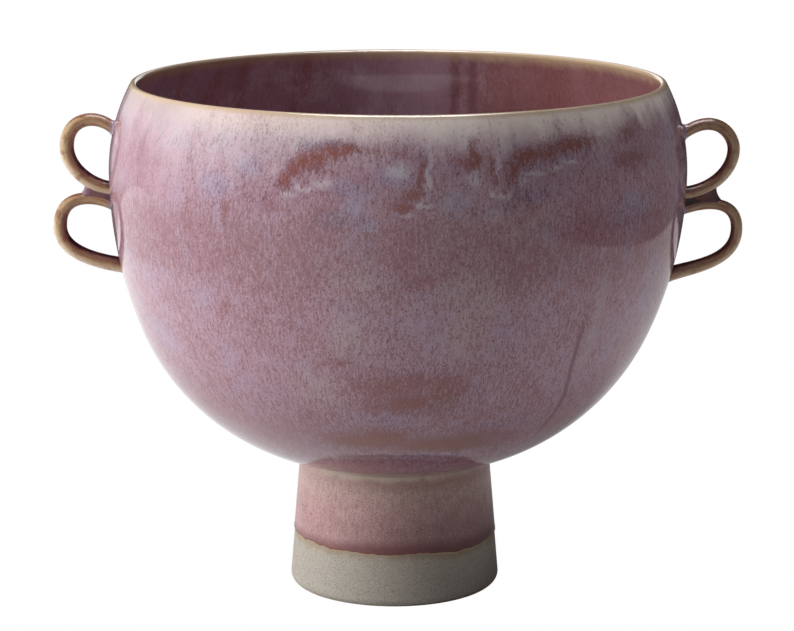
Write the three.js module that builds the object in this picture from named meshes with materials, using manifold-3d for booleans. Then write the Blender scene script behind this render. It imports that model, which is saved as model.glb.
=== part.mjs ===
// Footed bowl with a double-loop handle on each side, in millimetres.
// +Z is up. The origin is on the bowl's axis at the plane that the foot rests on.
import * as THREE from 'three';
import { mergeVertices } from 'three/addons/utils/BufferGeometryUtils.js';
import Module from 'manifold-3d';

// Bowl: three tangent arcs from the lip down to the underside
const BELLY_RADIUS = 122.8;
const RIM_ABOVE_BELLY = 38.45;
const SHOULDER_ARC = 80;
const WALL_ARC = 170.5;
const BASE_ARC = 99.1;
const WALL_END = radians(-23.2);
const LIP_THICKNESS = 3;
const WALL_THICKNESS = 4.2;
const FLOOR_THICKNESS = 6.5;

// Foot: a hollow cone, glazed above a line and bare clay below it
const FOOT_HEIGHT = 57;
const FOOT_TOP_RADIUS = 40.8;
const FOOT_FLARE = 0.0855;
const FOOT_WALL = 7.5;
const FOOT_EDGE_ROUND = 3.6;
const FOOT_INNER_ROUND = 1.2;
const GLAZE_LINE = 22.8;
const GLAZE_THICKNESS = 0.3;

// Seats between the separate pieces
const JOINT_GAP = 0.3;

// Each loop leaves the wall at its high root, turns at its reach and comes back at its low root.
// Heights are above the belly, reach is beyond the belly, lean is the leg's rise away from the wall,
// pull is how far each leg or turn keeps its direction, flare is the fillet where a leg meets the wall.
const LOOPS = {
  left_upper_loop: {
    side: -1,
    high: { root: 17.1, lean: radians(46), pull: 9.5, radius: 2.45, flare: 1.6 },
    turn: { reach: 17.7, height: 9.6, rise: 13, fall: 10.4, radius: 3 },
    low: { root: -8.2, lean: radians(2), pull: 7, radius: 2.95, flare: 0.4 },
  },
  left_lower_loop: {
    side: -1,
    high: { root: -15.5, lean: radians(30), pull: 6.5, radius: 2.2, flare: 0.4 },
    turn: { reach: 21.4, height: -24.9, rise: 16, fall: 13, radius: 2.95 },
    low: { root: -41.8, lean: radians(9), pull: 6, radius: 3.35, flare: 0.8 },
  },
  right_upper_loop: {
    side: 1,
    high: { root: 15.2, lean: radians(36), pull: 16.8, radius: 2.55, flare: 2.2 },
    turn: { reach: 20.8, height: 8.4, rise: 6.5, fall: 9.5, radius: 2.65 },
    low: { root: -10.4, lean: radians(6), pull: 11.3, radius: 2.8, flare: 0.4 },
  },
  right_lower_loop: {
    side: 1,
    high: { root: -17.6, lean: radians(20), pull: 8.5, radius: 2.2, flare: 0.4 },
    turn: { reach: 22.9, height: -26.2, rise: 14.5, fall: 15, radius: 2.55 },
    low: { root: -46, lean: radians(22), pull: 9.1, radius: 3.3, flare: 0.8 },
  },
};
const ROOT_DEPTH = 2;

// Web of clay that joins the two loops of a handle, from beside the wall out to its reach
const WEB_THICKNESS = 3.4;
const WEB_START = 1.5;
const WEB_REACH = { left: 12.3, right: 14.6 };
const WEB_HOLLOW = 0.8;

// Facets
const TURN_STEPS = 64;
const ARC_STEP = radians(4.5);
const LIP_STEPS = 4;
const ROUND_STEPS = 3;
const COIL_SIDES = 14;
const COIL_STEPS = 20;
const FLARE_SHARES = [0, 0.12, 0.32, 0.6, 1];
const WEB_EDGE_STEPS = 5;

const GLAZE = { color: 0x9c7c86, roughness: 0.18, metalness: 0 };
const FOOT_GLAZE = { color: 0xa98287, roughness: 0.35, metalness: 0 };
const COIL_GLAZE = { color: 0x8f7557, roughness: 0.22, metalness: 0 };
const WEB_GLAZE = { color: 0x5e4350, roughness: 0.22, metalness: 0 };

const wasm = await Module();
wasm.setup();

function radians(degrees) {
  return THREE.MathUtils.degToRad(degrees);
}

// Outline of the bowl, with each arc's centre measured from the belly
const shoulderCentre = new THREE.Vector2(BELLY_RADIUS - SHOULDER_ARC, 0);
const wallCentre = new THREE.Vector2(BELLY_RADIUS - WALL_ARC, 0);
const baseCentre = wallCentre.clone().addScaledVector(direction(WALL_END), WALL_ARC - BASE_ARC);
const BELLY_HEIGHT = FOOT_HEIGHT - heightAtRadius(FOOT_TOP_RADIUS);
const LIP_ANGLE = Math.asin((RIM_ABOVE_BELLY - LIP_THICKNESS / 2) / (SHOULDER_ARC - LIP_THICKNESS / 2));

function direction(angle) {
  return new THREE.Vector2(Math.cos(angle), Math.sin(angle));
}

function arcAt(angle) {
  if (angle >= 0) {
    return { centre: shoulderCentre, radius: SHOULDER_ARC };
  }
  if (angle >= WALL_END) {
    return { centre: wallCentre, radius: WALL_ARC };
  }
  return { centre: baseCentre, radius: BASE_ARC };
}

// Point whose outward direction rises by angle, moved out of the clay by offset
function outlineAt(angle, offset = 0) {
  const { centre, radius } = arcAt(angle);
  return centre.clone().addScaledVector(direction(angle), radius + offset);
}

function heightAtRadius(radius) {
  const across = (radius - baseCentre.x) / BASE_ARC;
  return baseCentre.y - BASE_ARC * Math.sqrt(1 - across * across);
}

function angleAtHeight(height, offset = 0) {
  const arcs = [
    { centre: shoulderCentre, radius: SHOULDER_ARC, end: 0 },
    { centre: wallCentre, radius: WALL_ARC, end: WALL_END },
    { centre: baseCentre, radius: BASE_ARC, end: radians(-90) },
  ];
  for (const { centre, radius, end } of arcs) {
    const rise = (height - centre.y) / (radius + offset);
    const angle = Math.asin(THREE.MathUtils.clamp(rise, -1, 1));
    if (angle >= end) {
      return angle;
    }
  }
  return radians(-90);
}

function thicknessAt(angle) {
  if (angle >= 0) {
    return THREE.MathUtils.lerp(WALL_THICKNESS, LIP_THICKNESS, angle / LIP_ANGLE);
  }
  return THREE.MathUtils.lerp(WALL_THICKNESS, FLOOR_THICKNESS, angle / radians(-90));
}

function stepsBetween(from, to, stepSize) {
  const count = Math.max(1, Math.ceil(Math.abs(to - from) / stepSize));
  return Array.from({ length: count + 1 }, (_, i) => from + ((to - from) * i) / count);
}

function outlineAngles() {
  const shoulder = stepsBetween(LIP_ANGLE, 0, ARC_STEP);
  const wall = stepsBetween(0, WALL_END, ARC_STEP);
  const base = stepsBetween(WALL_END, radians(-90), ARC_STEP);
  return [...shoulder, ...wall.slice(1), ...base.slice(1)];
}

function lathe(points) {
  return new THREE.LatheGeometry(points, TURN_STEPS);
}

// Bowl: outside, round lip and inside, closed on the axis
function bowlGeometry() {
  const angles = outlineAngles();
  const outside = angles.map((angle) => outlineAt(angle));
  const inside = angles.map((angle) => outlineAt(angle, -thicknessAt(angle)));
  const underside = outside[outside.length - 1];
  const floor = inside[inside.length - 1];
  return lathe([
    new THREE.Vector2(0, underside.y),
    ...outside.reverse(),
    ...lipPoints(),
    ...inside,
    new THREE.Vector2(0, floor.y),
  ]);
}

function lipPoints() {
  const middle = outlineAt(LIP_ANGLE, -LIP_THICKNESS / 2);
  const turns = stepsBetween(LIP_ANGLE, LIP_ANGLE + Math.PI, Math.PI / LIP_STEPS).slice(1, -1);
  return turns.map((angle) => middle.clone().addScaledVector(direction(angle), LIP_THICKNESS / 2));
}

// The bowl's whole body grown by offset, for cutting what meets it
function bowlEnvelope(offset) {
  const outside = outlineAngles().map((angle) => outlineAt(angle, offset));
  const top = outside[0];
  const bottom = outside[outside.length - 1];
  return lathe([new THREE.Vector2(0, bottom.y), ...outside.reverse(), new THREE.Vector2(0, top.y)]);
}

// Foot: hollow, round at its lower edge, with the bowl's underside as its seat
function footGeometry() {
  const outer = (height, proud = 0) => FOOT_TOP_RADIUS + (FOOT_HEIGHT - height) * FOOT_FLARE + proud;
  const inner = (height) => outer(height) - FOOT_WALL;
  const seatInside = inner(FOOT_HEIGHT);
  const seat = [0, 0.5, 1].map((share) => seatPoint(
    THREE.MathUtils.lerp(outer(FOOT_HEIGHT, GLAZE_THICKNESS), seatInside, share),
  ));
  const points = [
    ...roundedEdge(outer, FOOT_EDGE_ROUND, 1),
    new THREE.Vector2(outer(GLAZE_LINE), GLAZE_LINE),
    new THREE.Vector2(outer(GLAZE_LINE, GLAZE_THICKNESS), GLAZE_LINE + GLAZE_THICKNESS),
    ...seat,
    ...roundedEdge(inner, FOOT_INNER_ROUND, -1).reverse(),
  ];
  points.push(points[0].clone());
  return lathe(points);
}

function seatPoint(radius) {
  const grown = BASE_ARC + JOINT_GAP;
  const across = (radius - baseCentre.x) / grown;
  const height = baseCentre.y - grown * Math.sqrt(1 - across * across);
  return new THREE.Vector2(radius, BELLY_HEIGHT + height);
}

// Round from the resting plane up to a wall, on its outer side (1) or its inner side (-1)
function roundedEdge(wall, radius, side) {
  const wallAngle = Math.atan(FOOT_FLARE) * side;
  const centre = new THREE.Vector2(wall(radius) - (side * radius) / Math.cos(wallAngle), radius);
  return stepsBetween(radians(-90), wallAngle, radians(90) / ROUND_STEPS).map((angle) => (
    new THREE.Vector2(centre.x + side * radius * Math.cos(angle), centre.y + radius * Math.sin(angle))
  ));
}

// Centre line of a loop in the plane through the axis, from its high root to its low root
function loopCurve({ high, turn, low }) {
  const start = rootPoint(high);
  const end = rootPoint(low);
  const top = new THREE.Vector2(BELLY_RADIUS + turn.reach, turn.height);
  const out = new THREE.CubicBezierCurve(
    start,
    start.clone().addScaledVector(direction(high.lean), high.pull),
    top.clone().add(new THREE.Vector2(0, turn.rise)),
    top,
  );
  const back = new THREE.CubicBezierCurve(
    top,
    top.clone().add(new THREE.Vector2(0, -turn.fall)),
    end.clone().addScaledVector(direction(low.lean), low.pull),
    end,
  );
  const path = new THREE.CurvePath();
  path.add(new THREE.LineCurve(start.clone().addScaledVector(direction(high.lean), -ROOT_DEPTH), start));
  path.add(out);
  path.add(back);
  path.add(new THREE.LineCurve(end, end.clone().addScaledVector(direction(low.lean), -ROOT_DEPTH)));
  return path;
}

function rootPoint({ root }) {
  return outlineAt(angleAtHeight(root));
}

// Fillet that widens a leg within one flare of the wall
function flareAt(distance, flare) {
  const left = THREE.MathUtils.clamp(flare - distance, 0, flare);
  return flare - Math.sqrt(flare * flare - left * left);
}

// Radius along a coil, which passes from the high root's to the low root's through the turn's
function coilRadiusAt(share, { high, turn, low }) {
  const pulled = 2 * turn.radius - (high.radius + low.radius) / 2;
  const rest = 1 - share;
  return high.radius * rest * rest + 2 * pulled * share * rest + low.radius * share * share;
}

// Distances along the coil at which it has a ring, close together at the two fillets
function ringDistances(length, { high, low }) {
  const first = ROOT_DEPTH;
  const last = length - ROOT_DEPTH;
  const highEnd = FLARE_SHARES.map((share) => first + share * high.flare);
  const lowEnd = FLARE_SHARES.map((share) => last - share * low.flare).reverse();
  const from = highEnd[highEnd.length - 1];
  const middle = stepsBetween(from, lowEnd[0], (lowEnd[0] - from) / COIL_STEPS).slice(1, -1);
  return [0, ...highEnd, ...middle, ...lowEnd, length];
}

// Round tapering coil along a loop, grown by offset
function coilGeometry(loop, offset = 0) {
  const path = loopCurve(loop);
  const length = path.getLength();
  const positions = [];
  const rings = ringDistances(length, loop);
  for (const distance of rings) {
    const share = distance / length;
    const fromHigh = distance - ROOT_DEPTH;
    const fromLow = length - ROOT_DEPTH - distance;
    const widening = flareAt(fromHigh, loop.high.flare) + flareAt(fromLow, loop.low.flare);
    const radius = coilRadiusAt(share, loop) + widening + offset;
    const centre = path.getPointAt(share);
    const along = path.getTangentAt(share);
    for (let i = 0; i < COIL_SIDES; i += 1) {
      const turn = (2 * Math.PI * i) / COIL_SIDES;
      const sideways = radius * Math.cos(turn);
      positions.push(
        loop.side * (centre.x - along.y * sideways),
        radius * Math.sin(turn),
        centre.y + along.x * sideways,
      );
    }
  }
  return closedTube(positions, rings.length, loop.side);
}

function closedTube(positions, ringCount, side) {
  const index = [];
  const face = (a, b, c) => index.push(...(side > 0 ? [a, c, b] : [a, b, c]));
  for (let ring = 0; ring < ringCount - 1; ring += 1) {
    for (let i = 0; i < COIL_SIDES; i += 1) {
      const next = (i + 1) % COIL_SIDES;
      const a = ring * COIL_SIDES + i;
      const b = ring * COIL_SIDES + next;
      face(a, b, a + COIL_SIDES);
      face(b, b + COIL_SIDES, a + COIL_SIDES);
    }
  }
  const last = (ringCount - 1) * COIL_SIDES;
  for (let i = 1; i < COIL_SIDES - 1; i += 1) {
    face(0, i + 1, i);
    face(last, last + i, last + i + 1);
  }
  const geometry = new THREE.BufferGeometry();
  geometry.setAttribute('position', new THREE.Float32BufferAttribute(positions, 3));
  geometry.setIndex(index);
  return geometry;
}

// Web: a slab between the centre lines of two loops, which the coils then cut to their own shape
function webGeometry(upper, lower, reach) {
  const above = legPoints(loopCurve(upper), 1, 0.5, reach);
  const below = legPoints(loopCurve(lower), 0, 0.5, reach);
  const [tip, top] = [below[below.length - 1], above[above.length - 1]];
  const hollow = new THREE.Vector2(tip.x - 2 * WEB_HOLLOW, (tip.y + top.y) / 2);
  const edge = new THREE.QuadraticBezierCurve(tip, hollow, top).getPoints(WEB_EDGE_STEPS).slice(1, -1);
  const outline = [...below, ...edge, ...above.reverse()];
  const shape = new THREE.Shape(outline.map((point) => new THREE.Vector2(upper.side * point.x, point.y)));
  const geometry = new THREE.ExtrudeGeometry(shape, { depth: WEB_THICKNESS, bevelEnabled: false });
  geometry.translate(0, 0, -WEB_THICKNESS / 2);
  geometry.rotateX(radians(90));
  return geometry;
}

// Points of a centre line from one of its ends towards its turn, while they lie within the web
function legPoints(path, fromShare, toShare, reach) {
  const shares = stepsBetween(fromShare, toShare, 0.02);
  const points = shares.map((share) => path.getPointAt(share));
  const start = points.findIndex((point) => point.x >= BELLY_RADIUS + WEB_START);
  const end = points.findIndex((point) => point.x > BELLY_RADIUS + reach);
  return points.slice(start, end);
}

// Joins and cuts between solids
function solid(geometry) {
  const bare = geometry.clone();
  bare.deleteAttribute('normal');
  bare.deleteAttribute('uv');
  const merged = mergeVertices(bare, 1e-4);
  return new wasm.Manifold(new wasm.Mesh({
    numProp: 3,
    vertProperties: new Float32Array(merged.attributes.position.array),
    triVerts: new Uint32Array(merged.index.array),
  }));
}

function geometryOf(body) {
  const { vertProperties, triVerts } = body.getMesh();
  const geometry = new THREE.BufferGeometry();
  geometry.setAttribute('position', new THREE.BufferAttribute(vertProperties, 3));
  geometry.setIndex(new THREE.BufferAttribute(triVerts, 1));
  geometry.computeVertexNormals();
  return geometry;
}

// Lathes turn about Y, so the bowl's frame is stood up with its axis on Z
function upright(geometry) {
  return geometry.clone().rotateX(radians(90));
}

function piece(name, geometry, look) {
  const mesh = new THREE.Mesh(geometry, new THREE.MeshStandardMaterial(look));
  mesh.name = name;
  return mesh;
}

// Assembly: the bowl and its handles share a group at the belly's height
const bowlGroup = new THREE.Group();
bowlGroup.position.z = BELLY_HEIGHT;
bowlGroup.add(piece('bowl', upright(bowlGeometry()), GLAZE));

const seatCut = solid(upright(bowlEnvelope(JOINT_GAP)));
for (const hand of ['left', 'right']) {
  const upper = LOOPS[`${hand}_upper_loop`];
  const lower = LOOPS[`${hand}_lower_loop`];
  const upperCut = solid(coilGeometry(upper, JOINT_GAP));
  const lowerCut = solid(coilGeometry(lower, JOINT_GAP));
  const upperLoop = solid(coilGeometry(upper)).subtract(seatCut);
  const lowerLoop = solid(coilGeometry(lower)).subtract(seatCut).subtract(upperCut);
  const slab = solid(webGeometry(upper, lower, WEB_REACH[hand]));
  const web = slab.subtract(seatCut).subtract(upperCut).subtract(lowerCut);
  bowlGroup.add(piece(`${hand}_upper_loop`, geometryOf(upperLoop), COIL_GLAZE));
  bowlGroup.add(piece(`${hand}_lower_loop`, geometryOf(lowerLoop), COIL_GLAZE));
  bowlGroup.add(piece(`${hand}_joining_web`, geometryOf(web), WEB_GLAZE));
}

const object = new THREE.Group();
object.add(bowlGroup);
object.add(piece('foot', upright(footGeometry()), FOOT_GLAZE));

export default object;
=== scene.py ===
import math
from bisect import bisect_right
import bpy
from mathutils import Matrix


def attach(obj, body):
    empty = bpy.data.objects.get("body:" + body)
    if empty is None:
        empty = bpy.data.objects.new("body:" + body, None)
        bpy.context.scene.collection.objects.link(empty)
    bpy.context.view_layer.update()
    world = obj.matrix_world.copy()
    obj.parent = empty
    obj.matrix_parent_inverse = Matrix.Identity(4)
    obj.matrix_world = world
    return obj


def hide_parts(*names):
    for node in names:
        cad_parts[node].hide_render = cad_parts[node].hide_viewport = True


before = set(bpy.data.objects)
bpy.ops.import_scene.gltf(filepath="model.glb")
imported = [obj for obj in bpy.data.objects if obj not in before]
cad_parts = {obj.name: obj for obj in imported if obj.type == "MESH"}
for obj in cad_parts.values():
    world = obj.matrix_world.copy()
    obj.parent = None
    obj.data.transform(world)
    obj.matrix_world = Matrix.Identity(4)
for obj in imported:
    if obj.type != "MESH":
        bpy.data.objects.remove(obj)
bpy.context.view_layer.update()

from types import SimpleNamespace

import bmesh
import bpy
from mathutils import Vector, noise

# Footed bowl with a double-loop handle on each side: glazed bowl, coils, webs and foot.
# Sizes are in millimetres until a mesh is made, and angles are written in degrees.

MM = 0.001
ROOT_BODY = "root"

# Bowl
BELLY_RADIUS = 122.8
RIM_ABOVE_BELLY = 38.45
SHOULDER_ARC = 80
WALL_ARC = 170.5
BASE_ARC = 99.1
WALL_END = math.radians(-23.2)
LIP_THICKNESS = 3
WALL_THICKNESS = 4.2
FLOOR_THICKNESS = 6.5
BOWL_SIDES = 240
OUTLINE_STEP = math.radians(1.5)
LIP_STEPS = 12

# Foot
FOOT_HEIGHT = 57
FOOT_TOP_RADIUS = 40.8
FOOT_FLARE = 0.0855
FOOT_WALL = 7.5
FOOT_EDGE_ROUND = 3.6
FOOT_INNER_ROUND = 1.2
FOOT_SIDES = 192
FOOT_STEP = 1.2
HOLLOW_STEP = 2.5
HOLLOW_TOP = 3
ROUND_STEP = math.radians(9)
SEAT_SINK = 0.4

# Glaze coat on the foot: its wavy lower edge, and the bead along it as (rise, stand off the clay)
GLAZE_LINE = 22.8
GLAZE_THICKNESS = 0.3
COAT_SIDES = 384
COAT_ROWS = 20
COAT_BACK_ROWS = 8
COAT_BACK = -0.5
EDGE_DIP = 0.7
EDGE_WAVE = 0.9
EDGE_SCALLOP = 0.5
BEAD = (
    (-0.05, -0.1), (0.02, 0.1), (0.1, 0.2), (0.22, 0.29), (0.38, 0.36), (0.6, 0.41), (0.9, 0.42),
    (1.3, 0.4), (1.8, 0.37), (2.5, 0.34), (3.5, 0.32), (5, GLAZE_THICKNESS),
)

# The maker's hand: the foot sits a little to one side and the rim leans the other way
FOOT_LEAN = -0.93
BELLY_LEAN = 0.55
RIM_LEAN = 0.76

# Handles: the same roots, reaches and radii as the solids
LOOPS = {
    "left_upper": {
        "side": -1,
        "high": {"root": 17.1, "lean": 46, "pull": 9.5, "radius": 2.45, "flare": 1.6, "top": 0.5},
        "turn": {"reach": 17.7, "height": 9.6, "rise": 13, "fall": 10.4, "radius": 3},
        "low": {"root": -8.2, "lean": 2, "pull": 7, "radius": 2.95, "flare": 0.8, "top": 0},
    },
    "left_lower": {
        "side": -1,
        "high": {"root": -15.5, "lean": 30, "pull": 6.5, "radius": 2.2, "flare": 0.7, "top": 0},
        "turn": {"reach": 21.4, "height": -24.9, "rise": 16, "fall": 13, "radius": 2.95},
        "low": {"root": -41.8, "lean": 9, "pull": 6, "radius": 3.35, "flare": 0.9, "top": 0},
    },
    "right_upper": {
        "side": 1,
        "high": {"root": 15.2, "lean": 36, "pull": 16.8, "radius": 2.55, "flare": 2, "top": 0.8},
        "turn": {"reach": 20.8, "height": 8.4, "rise": 6.5, "fall": 9.5, "radius": 2.65},
        "low": {"root": -10.4, "lean": 6, "pull": 11.3, "radius": 2.8, "flare": 0.8, "top": 0},
    },
    "right_lower": {
        "side": 1,
        "high": {"root": -17.6, "lean": 20, "pull": 8.5, "radius": 2.2, "flare": 0.7, "top": 0},
        "turn": {"reach": 22.9, "height": -26.2, "rise": 14.5, "fall": 15, "radius": 2.55},
        "low": {"root": -46, "lean": 22, "pull": 9.1, "radius": 3.3, "flare": 0.9, "top": 0},
    },
}
ROOT_DEPTH = 2
COIL_SIDES = 40
COIL_RINGS = 96
FILLET_ROWS = 8
FILLET_SINK = 0.5
COIL_GIRTH = 2.8
CURVE_SAMPLES = 240

# A coil's straight lines meet the wall between these distances past its root: inside and outside
ROOT_SEARCH = (-4, 6)
HALVINGS = 40

# Glaze on the coils, as (start, full) in mm: against the other coil, and beside the wall; against the
# other coil and at the low roots the coil is painted dark plum, as pooled glaze and painted shade
BESIDE_OTHER = (4.6, 2.9)
COLLAR = (2.6, 0.5)
SUNK = (4, 0.5)

# Webs between the two coils of a handle
WEB_REACH = {"left": 12.3, "right": 14.6}
WEB_ROOT_HEIGHT = -12
WEB_ROOT_SINK = 1.5
WEB_HALF = 1.5
WEB_COVE = 1.6
WEB_TOE = 3.4
WEB_TUCK = 0.04
WEB_SMALLEST_BOW = 0.5
WEB_CLOSING = (0.72, 1.04)
WEB_STATIONS = 28
WEB_ARC_STEPS = 10
LEG_SAMPLES = 400
LEG_RUN_ON = 4

# Marks in the bowl's glaze: azimuth in degrees from the front, distance down the wall from the
# lip in mm, half width in degrees and half height in mm
RUST_MARKS = (
    (-20.6, 27, 1, 3.4), (-18.8, 23, 1.4, 3.6), (-17, 19.8, 1.8, 3.4), (-14.6, 17.4, 2.4, 3.2),
    (-11.8, 15.8, 2.6, 3), (-9.4, 14.6, 1.6, 2), (3, 32.6, 1.8, 2.4), (1, 36.4, 1.6, 1.5),
    (4.5, 25, 0.5, 7), (14.4, 16.6, 0.5, 4.5), (17.7, 22, 0.4, 4.5), (21.8, 23.4, 1.2, 4.4),
    (25, 18.4, 2.6, 3), (29.5, 17, 3, 2.8), (34, 15.6, 2.4, 2.4),
)
STAIN_MARKS = (
    (-33.4, 41.5, 1, 5), (-2, 15, 5, 3.4), (13, 19, 3, 4), (40, 15, 5, 4), (50, 14, 4, 4),
    (51, 24, 6, 4), (-35, 81, 2.2, 3), (-12, 102, 3, 1.6), (-2.5, 112, 8, 7), (4, 110, 5, 5),
    (10, 115, 7, 10), (3, 121, 10, 6), (-9, 146, 10, 6), (-4, 143, 8, 6), (12, 149, 14, 6),
)
PALE_MARKS = (
    (-20.4, 32.4, 1.8, 1.6), (-16.6, 30.4, 1.8, 1.4), (-13.6, 28.4, 2, 1.6), (0.2, 22.6, 2.4, 4.2),
    (5.9, 24, 0.6, 14), (4.6, 36.4, 1.5, 1.5), (1.4, 39.4, 1.3, 1.1), (14.6, 25.6, 1.5, 4.4),
    (17.4, 33, 1, 1.8), (19.8, 33.4, 1.2, 1.5), (19, 22, 0.4, 8), (12.2, 9, 2, 9),
    (20.4, 10, 1.5, 9), (23.4, 28, 0.9, 2.4), (26.4, 25.4, 2.2, 0.9), (30.6, 24, 2.2, 0.8),
    (34.4, 22.4, 2, 1),
)
PLUM_MARKS = (
    (-11.5, 41, 4, 4.5), (-14, 12, 6, 2.6), (24, 34, 5, 4), (13.8, 87, 0.4, 4),
    (23.6, 142.5, 0.6, 3),
)
LILAC_MARKS = (
    (-28.6, 23, 3, 5), (-35, 31, 4, 4), (-9.6, 29.5, 3, 3.4), (-7, 36, 2.4, 5), (-5, 43, 2, 3),
    (0.4, 26, 3, 4), (10.5, 36, 4.6, 6), (17, 39, 4, 3), (50, 44, 9, 8), (-2, 131, 7, 4),
    (24, 137, 10, 4), (8, 158, 26, 2),
)
DUSTY_MARKS = (
    (-10, 91, 4.5, 9), (-16.5, 117, 6, 9), (13.5, 88, 4.5, 13), (22, 44, 8, 6), (8, 50, 5, 14),
    (13, 66, 5, 14), (17, 74, 3, 10), (-8, 66, 6, 8),
)

# Where the band under the lip reaches lower or less low: (start, full) in degrees, and mm
BAND_REACH = 16
BAND_LONGER = (((60, 40), 6), ((2, -22), 14), ((-44, -64), -13))

# The fold low on the right and the run beside it, and the cloud and runs on the far side inside
FOLD_AZIMUTH = 40
FOLD_BEND = 2.4
FOLD_TURN = (104, 134)
FOLD_LENGTH = ((84, 96), (162, 140))
RUN_BESIDE = 3.4
RUN_LENGTH = ((62, 84), (128, 100))
FAR_CLOUD = 10
FAR_RUNS = 31

# Grain of the bowl's glaze: cells in mm, and streaks as (cell, stretch, detail) at two girths
FINE_STREAKS = (0.42, 0.42, 1.0)
RUN_STREAKS = (1.1, 0.3, 2.0)
STREAK_GIRTHS = (120, 60)
CLOUD_CELL = 24
PATCH_CELL = 6.5

# Coil glaze tones from the coil's outer, downward-facing side to its inner, upward-facing side: light
# where the glaze runs thin, and dark plum on the inner side, which is pooled glaze and painted shade
COIL_TONES = (
    (0.2, (214, 192, 166)),
    (0.36, (194, 166, 130)),
    (0.48, (168, 134, 96)),
    (0.62, (144, 100, 74)),
    (0.74, (114, 70, 62)),
    (0.88, (60, 32, 40)),
)

# Camera
SENSOR_WIDTH = 36
LENS = 123.67
CAMERA_SHIFT = 0.00038
CAMERA_CLIP = (0.05, 50)
EYE = (0, -1.1516, 0.3627)
LOOKING_DOWN = 12.017

# Light and table: sizes in metres, but the floor's zones in mm
WHITE = (1, 1, 1, 1)
AMBIENT = 0.12
FLOOR_HALF = 6.0
FLOOR_GREY = (0.62, 0.62, 0.62, 1)
FLOOR_GLOW = 1.25
FLOOR_END = (740, 860)
SHADOW_MIDDLE = (90, 40)
CARD_FOOT = 0.001
GREYS = {
    "front_grey": (0.3, 0.3, 1.0),
    "right_grey": (0.16, 0.01, 0.16),
    "dark_grey": (0.03, 0.01, 0.03),
    "left_grey": (0.5, 0.01, 0.5),
    "ceiling_grey": (0.25, 0.01, 0.25),
}
CARDS = (
    ("front_card", (-0.9, -0.72), (0.55, -0.72), 1.3, "front_grey"),
    ("right_card", (0.55, -0.72), (0.55, 0.6), 1.3, "right_grey"),
    ("far_card", (0.55, 0.6), (0.28, 0.6), 1.3, "dark_grey"),
    ("back_card", (0.28, 0.6), (-0.37, 0.6), 1.45, "dark_grey"),
    ("left_back_card", (-0.37, 0.6), (-1.3, 0.75), 1.45, "left_grey"),
)
CLOTHS = (
    ("left_diffuser", (-0.9, -0.9), (-1.3, 0.75), 0.001, 1.2, 1.05),
    ("back_cloth", (-0.15, 0.59), (0.15, 0.59), 0.16, 0.62, 1.5),
)
SKY = ((-0.6, -0.7), (0.6, 0.5), 1.3, 1.3)
SKY_LEVEL = 18
CEILING = ((-1.3, -0.8), (0.6, 0.7), 1.42, 1.52)
SOFTBOXES = (
    ("left_softbox", (-1.27, -0.24, 0.52), (0, 0, 0.14), 1.1, 0.9, 21.5),
    ("top_softbox", (-0.2, 0.25, 1.5), (0, 0, 0.16), 0.8, 0.8, 9),
    ("floor_bounce", (0.4, 0.05, 0.004), (0.4, 0.05, 1), 0.5, 0.8, 0.8),
)


# Outline of the bowl from three tangent arcs, with centres measured from the belly


def direction(angle):
    return Vector((math.cos(angle), math.sin(angle)))


SHOULDER_CENTRE = Vector((BELLY_RADIUS - SHOULDER_ARC, 0))
WALL_CENTRE = Vector((BELLY_RADIUS - WALL_ARC, 0))
BASE_CENTRE = WALL_CENTRE + direction(WALL_END) * (WALL_ARC - BASE_ARC)
ARCS = (
    (SHOULDER_CENTRE, SHOULDER_ARC, 0),
    (WALL_CENTRE, WALL_ARC, WALL_END),
    (BASE_CENTRE, BASE_ARC, -math.pi / 2),
)
LIP_ANGLE = math.asin((RIM_ABOVE_BELLY - LIP_THICKNESS / 2) / (SHOULDER_ARC - LIP_THICKNESS / 2))


def base_height(radius):
    across = (radius - BASE_CENTRE.x) / BASE_ARC
    return BASE_CENTRE.y - BASE_ARC * math.sqrt(1 - across * across)


BELLY_HEIGHT = FOOT_HEIGHT - base_height(FOOT_TOP_RADIUS)


def outline_at(angle, offset=0):
    """Point on the outline whose outward direction rises by angle, moved out by offset."""
    for centre, radius, end in ARCS:
        if angle >= end - 1e-9:
            return centre + direction(angle) * (radius + offset)
    raise ValueError("the outline ends at the underside")


def angle_at_height(height):
    for centre, radius, end in ARCS:
        rise = max(-1, min(1, (height - centre.y) / radius))
        if math.asin(rise) >= end:
            return math.asin(rise)
    return -math.pi / 2


def wall_radius(height):
    return outline_at(angle_at_height(height)).x


def thickness_at(angle):
    if angle >= 0:
        return WALL_THICKNESS + (LIP_THICKNESS - WALL_THICKNESS) * angle / LIP_ANGLE
    return WALL_THICKNESS + (FLOOR_THICKNESS - WALL_THICKNESS) * angle / (-math.pi / 2)


def steps(start, end, size):
    count = max(1, math.ceil(abs(end - start) / size))
    return [start + (end - start) * i / count for i in range(count + 1)]


def outline_angles():
    shoulder = steps(LIP_ANGLE, 0, OUTLINE_STEP)
    wall = steps(0, WALL_END, OUTLINE_STEP)
    base = steps(WALL_END, -math.pi / 2, OUTLINE_STEP)
    return shoulder + wall[1:] + base[1:]


def smooth(value, start, end):
    share = max(0, min(1, (value - start) / (end - start)))
    return share * share * (3 - 2 * share)


def lean_at(height):
    """How far the pot's axis stands to the right at a height above the table."""
    to_belly = smooth(height, FOOT_HEIGHT, BELLY_HEIGHT)
    to_rim = smooth(height, BELLY_HEIGHT, BELLY_HEIGHT + RIM_ABOVE_BELLY)
    return FOOT_LEAN + (BELLY_LEAN - FOOT_LEAN) * to_belly + (RIM_LEAN - BELLY_LEAN) * to_rim


# Meshes


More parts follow.
